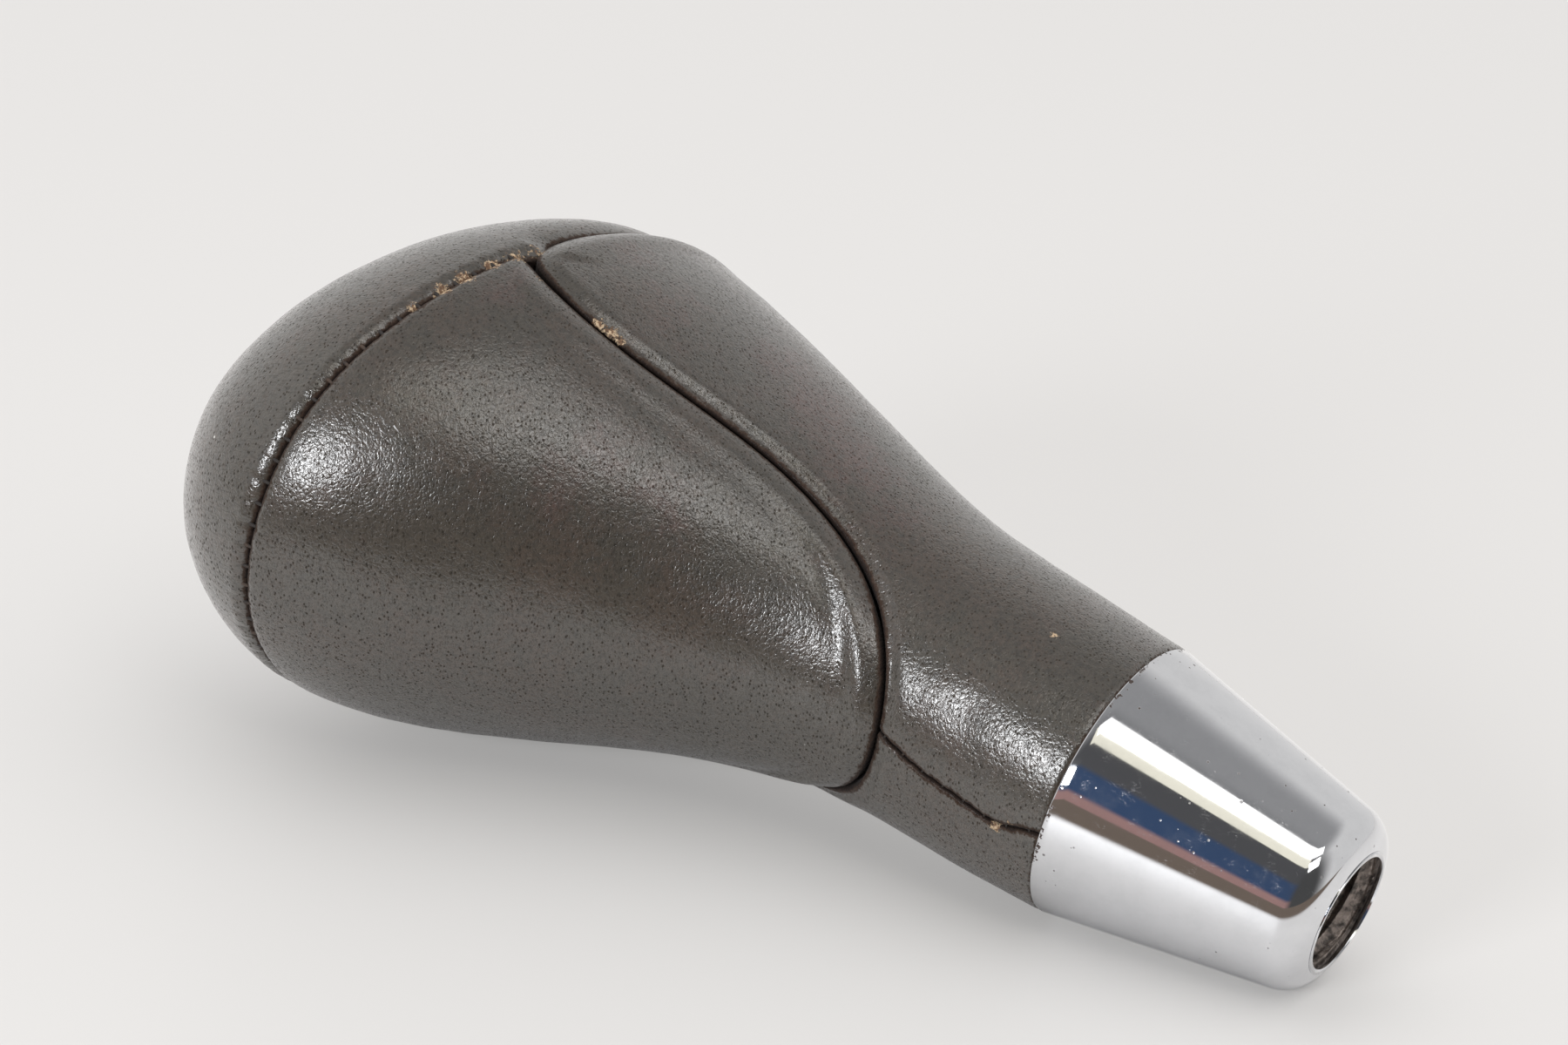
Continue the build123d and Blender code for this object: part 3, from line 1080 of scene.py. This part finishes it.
def leather_material():
    made, w, shader = material("worn_grey_leather")
    mm = w.millimetres()
    distance = w.attribute("seam_distance")
    creased = w.attribute("creased")

    patchy = w.noise(mm, 0.45, detail=4.0, rough=0.65, warp=0.4)
    broad = w.noise(mm, 0.09, detail=4.0, rough=0.6)
    colour = w.mix(w.ramp(w.plus(broad, patchy, 0.6), 0.72, 0.95), grey_hide, umber_hide)
    flush = w.plus(w.attribute("flush"), w.noise(mm, 0.5, detail=4.0, rough=0.65), 1.6)
    colour = w.mix(w.ramp(flush, 0.85, 1.7, 0.0, 0.9), colour, flushed_hide)
    mottle = w.noise(mm, 2.2, detail=3.0, rough=0.6)
    colour = w.mix(w.ramp(mottle, 0.38, 0.68, 0.0, 0.6), colour, mottle_dark)

    upright = w.node("ShaderNodeMapping", {"Vector": mm, "Scale": grain_stretch}).outputs[0]
    crease_along = w.times(w.attribute("crease_along"), crease_stretch)
    level = w.node("ShaderNodeCombineXYZ", {"X": crease_along, "Y": w.attribute("crease_round")}).outputs[0]
    pore = w.below(w.cells(upright, pores_per_mm), 0.1, 0.36)
    marks = w.below(w.noise(upright, marks_per_mm, detail=1.0, warp=0.3), 0.34, 0.54)
    creases = w.below(w.noise(level, creases_per_mm, detail=1.5, warp=0.2), 0.32, 0.54)
    creases = w.times(creases, w.times(creased, crease_strength))
    marks = w.maths("MAXIMUM", w.times(marks, w.rest(creased)), creases)
    colour = w.mix(w.times(marks, mark_shade), colour, mark_dark)
    colour = w.mix(w.times(pore, pore_shade), colour, pore_dark)
    matte = w.maths("MAXIMUM", w.times(marks, mark_dulling), pore)

    # Darker brown towards each panel's edge and near-black at the edge itself: seam dirt, and painted shade
    # in the seam
    uneven_edge_distance = w.plus(distance, w.noise(mm, 1.7, detail=3.0, rough=0.6), -0.7)
    soiled_and_shaded = w.below(uneven_edge_distance, -0.15, 0.2)
    colour = w.mix(w.times(soiled_and_shaded, 0.75), colour, seam_soil_and_shade)
    colour = w.mix(w.times(w.below(uneven_edge_distance, -0.3, -0.02), 0.9), colour, seam_dirt_and_shade)

    ragged = w.noise(mm, 3.6, detail=4.0, rough=0.7)
    rubbed = w.ramp(w.plus(w.attribute("wear"), ragged, 2.2), 1.75, 2.05)
    bare = w.mix(w.ramp(w.noise(mm, 2.8, detail=3.0), 0.42, 0.6), bare_brown, bare_tan)
    colour = w.mix(rubbed, colour, bare)
    speck = w.below(w.cells(mm, 0.16), 0.012, 0.03)
    colour = w.mix(w.times(speck, 0.8), colour, dust_pale)
    dull = w.plus(rubbed, soiled_and_shaded)

    drift = w.noise(mm, 1.3, output="Color")
    bend = {0: drift, 1: (0.6, 0.6, 0.6), 2: mm}
    bent = w.node("ShaderNodeVectorMath", bend, operation="MULTIPLY_ADD").outputs[0]
    furrow = w.ramp(w.cells(bent, 1.9, feature="DISTANCE_TO_EDGE"), 0.0, 0.2)
    pebble = w.noise(mm, 3.4, rough=0.55)
    hummock = w.noise(mm, 1.35)
    grain = w.plus(w.times(pebble, 0.9), hummock, 2.1)
    grain = w.plus(grain, furrow, 0.55)
    folds = w.plus(w.times(w.attribute("seam_along"), 2 * pi / pucker_length), patchy, 9.0)
    near_crown = w.times(w.below(distance, *pucker_reach), w.attribute("crown_edge"))
    height = w.plus(grain, matte, -0.9)
    height = w.plus(height, w.times(w.maths("SINE", folds), near_crown), 0.2)
    height = w.plus(height, rubbed, -1.0)
    w.fill(shader, {
        "Base Color": colour,
        "Roughness": w.ramp(w.plus(dull, matte), 0.0, 1.0, 0.5, 0.8),
        "Specular IOR Level": w.ramp(matte, 0.0, 1.0, 0.18, 0.05),
        "Normal": w.relief(height, hide_relief),
        "Sheen Weight": 0.05,
        "Sheen Roughness": 0.45,
        "Coat Weight": w.ramp(w.plus(dull, matte, gloss_loss), 0.0, 0.9, 1.0, 0.05),
        "Coat Roughness": gloss_roughness,
        "Coat IOR": gloss_ior,
        "Coat Normal": w.relief(w.plus(grain, matte, -0.75), gloss_relief),
    })
    return made


def chrome_material():
    made, w, shader = material("pitted_chrome")
    mm = w.millimetres()
    clusters = w.ramp(w.noise(mm, 0.14), 0.44, 0.54)
    rim = w.times(w.below(w.attribute("mouth_gap"), 0.2, 0.9), w.ramp(clusters, 0.0, 0.4))
    chips = w.plus(w.noise(mm, 1.5, detail=3.0, rough=0.65), rim, 0.25)
    pit = w.ramp(chips, 0.79, 0.83)
    for per_mm, whole, clustered in pits:
        colour = w.cells(mm, per_mm, output="Color")
        chance = w.node("ShaderNodeSeparateColor", {"Color": colour}).outputs["Red"]
        dot = w.below(w.cells(mm, per_mm), *pit_size)
        dot = w.times(dot, w.ramp(chance, whole, whole + 0.02))
        if clustered:
            dot = w.times(dot, clusters)
        pit = w.maths("MAXIMUM", pit, dot)
    smear = w.noise(mm, 0.35, detail=5.0, rough=0.7)
    bright = w.mix(w.ramp(smear, 0.4, 0.7, 0.0, 0.4), plating_bright, plating_smeared)

    scratch = 0.0
    for turn, per_mm in scratches:
        inputs = {"Vector": mm, "Rotation": (turn, turn * 0.6, turn * 1.7), "Scale": scratch_stretch}
        lines = w.noise(w.node("ShaderNodeMapping", inputs).outputs[0], per_mm)
        middle = w.maths("ABSOLUTE", w.maths("SUBTRACT", lines, 0.5))
        patch = w.ramp(w.noise(mm, 0.12 * per_mm), 0.55, 0.7)
        scratch = w.maths("MAXIMUM", scratch, w.times(w.below(middle, 0.0, scratch_width), patch))
    rough = w.plus(w.ramp(smear, 0.35, 0.75, 0.04, 0.1), pit, 0.5)
    w.fill(shader, {
        "Base Color": w.mix(pit, bright, pit_brown),
        "Metallic": w.rest(w.times(pit, 0.8)),
        "Roughness": w.plus(rough, scratch, 0.25),
        "Normal": w.relief(w.plus(pit, scratch, 0.004), pit_relief),
    })
    return made


def sleeve_material():
    made, w, shader = material("greasy_steel")
    mm = w.millimetres()
    grease = w.ramp(w.noise(mm, 0.8, detail=4.0, rough=0.65), 0.42, 0.66)
    w.fill(shader, {
        "Base Color": w.mix(grease, steel_bare, steel_greasy),
        "Metallic": w.ramp(grease, 0.0, 1.0, 0.9, 0.1),
        "Roughness": 0.3,
        "Normal": w.relief(w.noise(mm, 2.5, detail=4.0, rough=0.6), grease_relief),
    })
    return made


def core_material():
    made, w, shader = material("moulded_core")
    mottle = w.noise(w.millimetres(), 0.8, detail=3.0)
    w.fill(shader, {"Base Color": w.mix(mottle, core_black, core_grey), "Roughness": 0.7})
    return made


def thread_material():
    made, w, shader = material("sewing_thread")
    faded = w.ramp(w.noise(w.millimetres(), 0.4, detail=3.0, rough=0.6), 0.5, 0.65)
    w.fill(shader, {"Base Color": w.mix(faded, thread_dark, thread_faded), "Roughness": 0.75})
    return made


hide = leather_material()
for piece in (rear, crown, front):
    piece.data.materials.append(hide)
ferrule.data.materials.append(chrome_material())
sleeve.data.materials.append(sleeve_material())
core = frame["nodes"]["grip_core"]
core.data.materials.clear()
core.data.materials.append(core_material())

stitches = stitch_tree()
thread = thread_material()
row_end = up_around[-1] - crown_stitch_inset
seam_around = np.linspace(row_end, -row_end, seam_samples)
crown_stitches = stitched(
    "crown_stitches", seam_around, crown_seam(seam_around, crown_stitch_rise), crown_stitch, thread
)
neck_heights = np.linspace(mouth_height + neck_stitch_start, neck_stitch_top, neck_stitch_samples)
neck_stitches = stitched(
    "neck_stitches", neck_line(neck_heights, 0.0), along_at_height(neck_heights), neck_stitch, thread
)

# Floor, light and camera, in metres; azimuths run from the rear panel's side towards the nose, in degrees
floor_reach = 8.0
floor_roughness = 0.45
floor_specular = 0.2
floor_pale = (0.555, 0.545, 0.538, 1)
# Paler floor colour that only glossy rays see: a painted reflection of a brighter floor
floor_mirrored = (0.76, 0.75, 0.745, 1)
floor_shaded = (0.1, 0.09, 0.08, 1)
floor_shade = 0.85
floor_shade_range = (0.05, 0.1)     # how far ahead the shade sets in
floor_glow = (0.82, 0.81, 0.80, 1)
floor_glow_share = 0.33
# Brown that only reflections show on the floor from this far ahead: a painted reflection of a table's edge
floor_painted_reflection = (0.24, 0.19, 0.155, 1)
floor_painted_reflection_range = (0.058, 0.078)
viewer_azimuth = 25
room_elevation = 12
room_range = (0.35, 0.8)
aside_azimuth = 70
lamp_distance = 1.3
lamps = [                   # name, azimuth, elevation, width, height, radiance, colour
    ("window", -5, 20, 0.36, 0.32, 29.0, (0.97, 0.985, 1.0)),
    ("overhead", 44, 62, 0.75, 0.26, 2.0, (1.0, 0.99, 0.97)),
    ("side_strip", 51, 46, 0.43, 0.27, 5.6, (1.0, 0.99, 0.97)),
    ("warm_panel", 23, 54.5, 0.42, 0.36, 1.25, (1.0, 0.955, 0.78)),
]
sweep_pale = (1.15, 1.13, 1.11, 1)
sweep_mirrored = (0.95, 0.94, 0.93, 1)
ceiling_pale = (2.1, 2.09, 2.08, 1)
ceiling_mirrored = (0.42, 0.42, 0.425, 1)
room_dark = (0.12, 0.12, 0.12, 1)
room_pink = (0.5, 0.3, 0.28, 1)
room_navy = (0.06, 0.105, 0.21, 1)
room_grey = (0.12, 0.12, 0.125, 1)
room_aside = (0.1, 0.1, 0.1, 1)
backdrop = (0.83, 0.82, 0.81, 1)

floor_mesh = bpy.data.meshes.new("floor")
floor_corners = [(x * floor_reach, y * floor_reach, 0) for x, y in ((-1, -1), (1, -1), (1, 1), (-1, 1))]
floor_mesh.from_pydata(floor_corners, [], [(0, 1, 2, 3)])
floor = shown("floor", floor_mesh)
floor_paint, floor_wiring, floor_shader = material("pale_floor")
floor_wiring.fill(floor_shader, {"Roughness": floor_roughness, "Specular IOR Level": floor_specular})
floor_mesh.materials.append(floor_paint)


def facing(azimuth, elevation):
    a, e = radians(azimuth), radians(elevation)
    return Vector((sin(a) * cos(e), -cos(a) * cos(e), sin(e)))


def light_floor():
    """Floor that glows a little for the camera, is shaded ahead for bounced light, and shows mirrors a
    painted brown reflection further ahead.
    """
    w = floor_wiring
    path = w.node("ShaderNodeLightPath").outputs
    seen = path["Is Camera Ray"]
    mirrored = path["Is Glossy Ray"]
    ahead = w.toward(w.node("ShaderNodeTexCoord").outputs["Object"], facing(viewer_azimuth, 0))
    bounced = w.rest(w.plus(seen, mirrored))
    shade = w.times(w.ramp(ahead, *floor_shade_range, 0.0, floor_shade), bounced)
    pale = w.mix(mirrored, floor_pale, floor_mirrored)
    w.feed(floor_shader.inputs["Base Color"], w.mix(shade, pale, floor_shaded))
    beyond = w.times(w.ramp(ahead, *floor_painted_reflection_range), mirrored)
    lit = floor_shader
    for share, colour in ((w.times(seen, floor_glow_share), floor_glow), (beyond, floor_painted_reflection)):
        glow = w.node("ShaderNodeEmission", {"Color": colour, "Strength": 1.0})
        lit = w.node("ShaderNodeMixShader", {0: share, 1: lit.outputs[0], 2: glow.outputs[0]})
    w.fill(w.tree.nodes["Material Output"], {"Surface": lit.outputs[0]})


light_floor()


def soft_box(name, azimuth, elevation, width, height, radiance, colour):
    """Rectangular light facing the knob; radiance is what a mirror would show of it."""
    lamp = bpy.data.lights.new(name, "AREA")
    lamp.shape = "RECTANGLE"
    lamp.size = width
    lamp.size_y = height
    lamp.energy = radiance * pi * width * height
    lamp.color = colour
    box = shown(name, lamp)
    away = facing(azimuth, elevation)
    box.location = away * lamp_distance
    box.rotation_euler = away.to_track_quat("Z", "Y").to_euler()


for lamp in lamps:
    soft_box(*lamp)


def studio_world():
    """Pale sweep behind and aside, a ceiling, a dark room on the camera's side and a plain backdrop."""
    studio = bpy.data.worlds.new("studio")
    bpy.context.scene.world = studio
    studio.use_nodes = True
    background = studio.node_tree.nodes["Background"]
    w = Wiring(studio.node_tree)
    direction = w.node("ShaderNodeTexCoord").outputs["Generated"]
    tall = w.node("ShaderNodeSeparateXYZ", {0: direction}).outputs["Z"]
    path = w.node("ShaderNodeLightPath").outputs
    mirrored = path["Is Glossy Ray"]
    dark = w.mix(w.ramp(tall, 0.09, 0.17), room_pink, room_navy)
    dark = w.mix(w.ramp(tall, 0.42, 0.5), dark, room_grey)
    dark = w.mix(w.ramp(w.toward(direction, facing(aside_azimuth, 0)), 0.45, 0.7), dark, room_aside)
    room = w.mix(mirrored, room_dark, dark)
    sweep = w.mix(mirrored, sweep_pale, sweep_mirrored)
    ceiling = w.mix(mirrored, ceiling_pale, ceiling_mirrored)
    colour = w.mix(w.ramp(tall, 0.72, 0.95), sweep, ceiling)
    before_us = w.toward(direction, facing(viewer_azimuth, room_elevation))
    colour = w.mix(w.ramp(before_us, *room_range), colour, room)
    colour = w.mix(path["Is Camera Ray"], colour, backdrop)
    w.fill(background, {"Color": colour, "Strength": 1.0})


studio_world()

turn = Quaternion(camera_turn.normalized(), camera_turn.length).to_matrix()
eye = to_world @ (-(turn.transposed() @ camera_shift))
look = (to_world.to_3x3() @ turn.transposed()).normalized()
look = Matrix((look.col[0].normalized(), -look.col[1].normalized(), -look.col[2].normalized())).transposed()
camera_data = bpy.data.cameras.new("camera")
camera_data.sensor_width = sensor_width
camera_data.lens = camera_focus * sensor_width
camera_data.clip_start = 0.01
camera_data.clip_end = 50.0
camera = shown("camera", camera_data)
camera.matrix_world = Matrix.Translation(eye) @ look.to_4x4()
bpy.context.scene.camera = camera
bpy.context.scene.view_settings.view_transform = "Standard"

for piece, node in ((rear, "rear_panel"), (crown, "crown_panel"), (front, "front_panel")):
    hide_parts(node)
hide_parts("chrome_ferrule")
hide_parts("lever_sleeve")
for piece in (rear, crown, front, ferrule, sleeve, crown_stitches, neck_stitches):
    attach(piece, "root")
